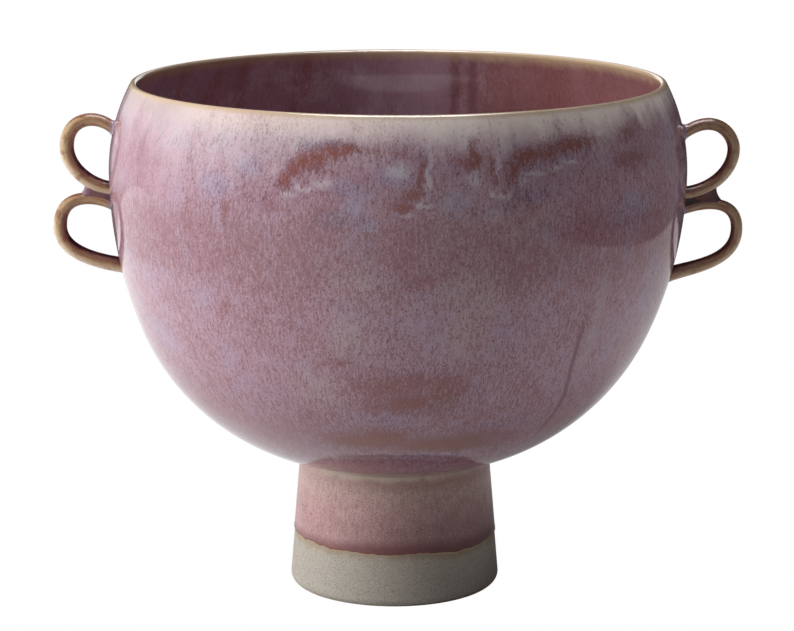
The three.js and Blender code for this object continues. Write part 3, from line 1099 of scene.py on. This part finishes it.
def foot_glaze(nodes):
    """Pink dusted with dark and pale specks, beige under the bowl and maroon above its lower edge."""
    place, x, y, z = nodes.place()
    above = nodes.value("above_edge")
    speck = nodes.grain(nodes.vector(x, y, z * 0.6), 0.32, detail=1.5)
    light = nodes.grain(nodes.vector(x + 40, y, z * 0.7), 0.5, detail=1.0)
    runs = nodes.grain(nodes.vector(x, y, z * 0.25), 1.1)
    patch = nodes.grain(place, 6)
    pink, rose, sandy = (186, 148, 150), (176, 140, 138), (190, 164, 156)
    dust, dark_rose, pale = (120, 82, 80), (140, 104, 108), (204, 180, 172)
    beige, tan = (204, 190, 170), (148, 106, 98)
    maroon, brown, cream = (108, 60, 64), (122, 74, 60), (206, 188, 158)

    lower = (z + patch.swing(12)).ease(46, 28) * x.ease(-34, 4)
    in_front = abs(x + 6 + patch.swing(10)).ease(36, 16)
    top = (z + runs.swing(3) + patch.swing(4) + speck.swing(4)).ease(53.4, 55.8)
    stained = (z + patch.swing(5) + speck.swing(6)).ease(48.5, 52) * (1 - top)
    grainy = runs.swing(3) + speck.swing(4)
    right = x.ease(-40, 0)
    low = ((above + grainy) / (5 + right * 3)).ease(1, 0.2)
    body = nodes.over(
        rose,
        (patch.ease(0.38, 0.62), pink),
        ((z + patch.swing(14)).ease(36, 50) * 0.75, sandy),
        (lower * 0.6, dark_rose),
        ((speck + runs.swing(0.4)).ease(0.46, 0.7) * 0.8, dust),
        (light.ease(0.56, 0.7) * 0.45, pale),
        (top * (0.2 + in_front * 0.6), beige),
        (stained * 0.4 * x.ease(-34, 0), tan),
        (low * (0.6 + right * 0.3), maroon),
        ((above + grainy * 0.2).ease(1.3, 0.5) * 0.9, brown),
        ((above + speck.swing(0.6)).ease(0.42, 0.26), cream),
    )
    return glossy(nodes, body, 0.4, 0.6, nodes.bump(0.2, 0.0002, speck), 0.22)


def bare_clay(nodes):
    """Sandy clay with grit, tanned below the glaze, with a painted shadow along its bottom edge at the
    right.
    """
    place, x, _, z = nodes.place()
    below = nodes.value("below_glaze")
    sand = nodes.grain(place, 0.34, roughness=0.7)
    grit = nodes.grain(place, 0.8, detail=1.0)
    stain = nodes.grain(place, 7)
    grey, pale, iron = (158, 151, 140), (198, 192, 182), (120, 88, 70)
    dark, tan, shade = (104, 95, 84), (156, 132, 100), (48, 40, 34)
    body = nodes.over(
        grey,
        (sand.ease(0.66, 0.32), pale),
        ((sand + grit.swing(0.5)).ease(0.56, 0.74) * 0.6, dark),
        (grit.ease(0.72, 0.8) * 0.6, iron),
        ((below + stain.swing(7)).ease(4, 0) * 0.55, tan),
        ((z + stain.swing(2)).ease(1.6, 0.7) * 0.4, tan),
        # Painted shadow: dark along the bottom edge at the right, where the foot meets the table
        (z.ease(1.5, 0.6) * x.ease(-8, 24) * 0.9, shade),
    )
    return glossy(nodes, body, 0.85, 0.0, nodes.bump(0.35, 0.0002, sand))


def coil_glaze(nodes):
    """Gold where the glaze runs thin over the coil, rust on its crown, dark where it pools, with painted
    shade on its inner side, against the other coil and at its low root.
    """
    place, x, _, _ = nodes.place()
    to_right = x.ease(0, 60)
    labels = ("down_coil", "tone", "beside", "sunk", "crown", "collar", "across_coil", "through_coil")
    down, tone, beside, sunk, crown, collar, across, through = [nodes.value(label) for label in labels]
    streak = nodes.grain(nodes.vector(across, through, down * 0.14), 1.5)
    fine = nodes.grain(nodes.vector(across, through, down * 0.3), 0.6, detail=1.0)
    mottle = nodes.grain(place, 4)
    # Painted shade with pooled glaze: the ramp darkens toward the coil's inner, upward-facing side
    thick = tone + streak.swing(0.8 + to_right * 0.5) + fine.swing(0.25) + mottle.swing(0.3)
    base = nodes.ramp(thick * 0.5 + 0.5, [(at, socket_colour(colour)) for at, colour in COIL_TONES])
    rust, plum, lilac = (134, 82, 68), (70, 44, 46), (152, 136, 162)
    spots = (mottle + fine.swing(0.3)).ease(0.56, 0.68) * 0.6
    # Painted shade with pooled glaze: dark plum against the other coil and at the low root
    pooled_and_shaded = (beside + sunk + fine.swing(0.4)).ease(0.2, 1)
    body = nodes.over(
        base,
        (spots.math("MAXIMUM", spots, to_right * 0.3), rust),
        (crown * streak.ease(0.34, 0.6) * 0.9, rust),
        (pooled_and_shaded * 0.85, plum),
        (collar * 0.9, lilac),
    )
    coat = (1 - tone.ease(0.3, 0.7)) * (1 - crown * 0.6)
    return glossy(nodes, body, 0.3, coat, coat_roughness=0.14)


def web_glaze(nodes):
    """Glaze pooling between the coils: rust at the tip, mauve inside and violet near the wall on the
    left, and on the right painted shade, darkest near the wall.
    """
    place, x, _, _ = nodes.place()
    mottle = nodes.grain(place, 2.2)
    reach = abs(x) + mottle.swing(9)
    to_right = x.ease(-20, 20)
    mauve, rust, violet = (150, 126, 142), (112, 64, 56), (104, 76, 92)
    # Painted shade: the web on the right, away from the lamp, is blended to darker colours, darkest near
    # the wall
    middle = nodes.blend(to_right, mauve, (98, 68, 74))
    inner = nodes.blend(to_right, violet, (62, 34, 38))
    body = nodes.over(
        middle,
        (reach.ease(135, 130) * (0.7 + to_right * 0.3), rust),
        ((reach - to_right * 3).ease(127, 124), inner),
    )
    return glossy(nodes, body, 0.28, 0.6, coat_roughness=0.08)


# Stage: table, backdrop, light and camera


def seen_or_mirrored(nodes):
    """1 for rays that look at the background or mirror it, and 0 for rays that gather light."""
    kinds = ("Camera", "Glossy", "Transmission")
    rays = [nodes.make("ShaderNodeLightPath", None, None, f"Is {kind} Ray") for kind in kinds]
    total = rays[0] + rays[1] + rays[2]
    return total.math("MINIMUM", total, 1.0)


def light_of(nodes, level):
    return nodes.make("ShaderNodeEmission", None, {"Color": WHITE, "Strength": level})


def mixed(nodes, share, first, second):
    return nodes.make("ShaderNodeMixShader", None, {0: share, 1: first, 2: second})


def glow(nodes, share, level):
    """A white light of that level, of which each place gives its share."""
    return mixed(nodes, share, light_of(nodes, 0.0), light_of(nodes, level))


def floor_surface(nodes):
    """White to the camera. The gloss sees it bright beside the lamp and shaded beyond the pot."""
    _, x, y, _ = nodes.place()
    seen = nodes.make("ShaderNodeLightPath", None, None, "Is Camera Ray")
    shadow_x, shadow_y = SHADOW_MIDDLE
    from_shadow = ((x - shadow_x) ** 2.0 + (y - shadow_y) ** 2.0) ** 0.5
    lit = 0.55 + x.ease(90, -120) * 0.4 + x.ease(-120, -420) * 0.3
    lit = lit - from_shadow.ease(170, 50) * 0.3
    lit = lit * (1 - y.ease(*FLOOR_END) * x.ease(-40, 60) * 0.9)
    lit = seen + (1 - seen) * lit
    shaded = nodes.make("ShaderNodeBsdfDiffuse", None, {"Color": FLOOR_GREY})
    plain = glow(nodes, lit / FLOOR_GLOW, FLOOR_GLOW)
    return mixed(nodes, seen_or_mirrored(nodes), shaded, plain)


def grey_card(nodes, level, fade, top_level):
    """A grey card that comes in softly over the lowest share of its height, and may be lighter on top."""
    _, _, up = nodes.parts(nodes.make("ShaderNodeTexCoord", None, None, "Generated"))
    clear = nodes.make("ShaderNodeBsdfTransparent")
    highest = max(level, top_level)
    card = glow(nodes, (level + up.ease(0.3, 0.7) * (top_level - level)) / highest, highest)
    return mixed(nodes, up.ease(0, fade), clear, card)


def lit_cloth(nodes, level, overhead=False):
    """A lit cloth that fades towards its sides, and towards its top or both its ends."""
    across, along, up = nodes.parts(nodes.make("ShaderNodeTexCoord", None, None, "Generated"))
    fade = abs(along - 0.5).ease(0.5, 0.25) if overhead else up.ease(1, 0.3)
    edge = abs(across - 0.5).ease(0.5, 0.2) * fade
    return glow(nodes, edge, level)


def make_plane(name, corners, finish):
    mesh = bpy.data.meshes.new(name)
    mesh.from_pydata(corners, [], [(0, 1, 2, 3)])
    mesh.materials.append(finish)
    plane = bpy.data.objects.new(name, mesh)
    bpy.context.collection.objects.link(plane)
    return plane


def make_card(name, corners, finish):
    """A card or cloth that only the gloss mirrors."""
    card = make_plane(name, corners, finish)
    card.visible_camera = False
    card.visible_diffuse = False
    card.visible_shadow = False


def upright(start, end, bottom, top):
    (x0, y0), (x1, y1) = start, end
    return [(x0, y0, bottom), (x1, y1, bottom), (x1, y1, top), (x0, y0, top)]


def level_plane(start, end, near, far):
    """Corners of a plane from start to end, whose height goes from near the camera to far from it."""
    (x0, y0), (x1, y1) = start, end
    return [(x0, y0, near), (x1, y0, near), (x1, y1, far), (x0, y1, far)]


def make_floor():
    corners = level_plane((-FLOOR_HALF, -FLOOR_HALF), (FLOOR_HALF, FLOOR_HALF), 0, 0)
    make_plane("floor", corners, new_finish("pale_floor", floor_surface))


def make_cards():
    greys = {name: new_finish(name, grey_card, *look) for name, look in GREYS.items()}
    for name, start, end, top, grey in CARDS:
        make_card(name, upright(start, end, CARD_FOOT, top), greys[grey])
    for name, start, end, bottom, top, level in CLOTHS:
        lit = new_finish(f"{name}_glow", lit_cloth, level)
        make_card(name, upright(start, end, bottom, top), lit)
    sky = new_finish("sky_glow", lit_cloth, SKY_LEVEL, True)
    make_card("sky_cloth", level_plane(*SKY), sky)
    make_card("ceiling_card", level_plane(*CEILING), greys["ceiling_grey"])


def make_world():
    world = bpy.data.worlds.new("soft_surround")
    bpy.context.scene.world = world
    world.use_nodes = True
    nodes = Nodes(world.node_tree)
    strength = AMBIENT + seen_or_mirrored(nodes) * (1 - AMBIENT)
    light = nodes.make("ShaderNodeBackground", None, {"Color": WHITE, "Strength": strength})
    nodes.make("ShaderNodeOutputWorld", None, {"Surface": light})


def add_softbox(name, place, target, width, height, power):
    lamp = bpy.data.lights.new(name, "AREA")
    lamp.shape = "RECTANGLE"
    lamp.size, lamp.size_y = width, height
    lamp.energy = power
    box = bpy.data.objects.new(name, lamp)
    box.location = place
    box.rotation_euler = (Vector(target) - Vector(place)).to_track_quat("-Z", "Y").to_euler()
    box.visible_glossy = False
    bpy.context.collection.objects.link(box)


def make_camera():
    camera = bpy.data.cameras.new("camera")
    camera.sensor_width = SENSOR_WIDTH
    camera.lens = LENS
    camera.shift_x = CAMERA_SHIFT
    camera.clip_start, camera.clip_end = CAMERA_CLIP
    eye = bpy.data.objects.new("camera", camera)
    eye.location = EYE
    eye.rotation_euler = (math.radians(90 - LOOKING_DOWN), 0, 0)
    bpy.context.collection.objects.link(eye)
    bpy.context.scene.camera = eye


# Assembly


def settle(piece, slot, *nodes):
    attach(piece, ROOT_BODY)
    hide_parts(*nodes)


bpy.context.scene.view_settings.view_transform = "Standard"
make_camera()
make_world()
make_floor()
make_cards()
for softbox in SOFTBOXES:
    add_softbox(*softbox)

settle(make_bowl(new_finish("reactive_glaze", bowl_glaze)), "bowl_glaze", "bowl")
settle(make_foot_clay(new_finish("bare_stoneware", bare_clay)), "foot_glaze", "foot")
settle(make_foot_glaze(new_finish("satin_glaze", foot_glaze)), "foot_glaze", "foot")

lines = {key: CentreLine(loop) for key, loop in LOOPS.items()}
over_coils = new_finish("coil_glaze", coil_glaze)
over_webs = new_finish("pooled_and_shaded_glaze", web_glaze)
for hand in ("left", "right"):
    upper, lower = f"{hand}_upper", f"{hand}_lower"
    for key, other in ((upper, lower), (lower, upper)):
        coil = make_coil(f"{key}_coil", key, lines[key], lines[other], over_coils)
        settle(coil, "coil_glaze", f"{key}_loop")
    web = make_web(f"{hand}_web", hand, lines[upper], lines[lower], over_webs)
    settle(web, "web_glaze", f"{hand}_joining_web")
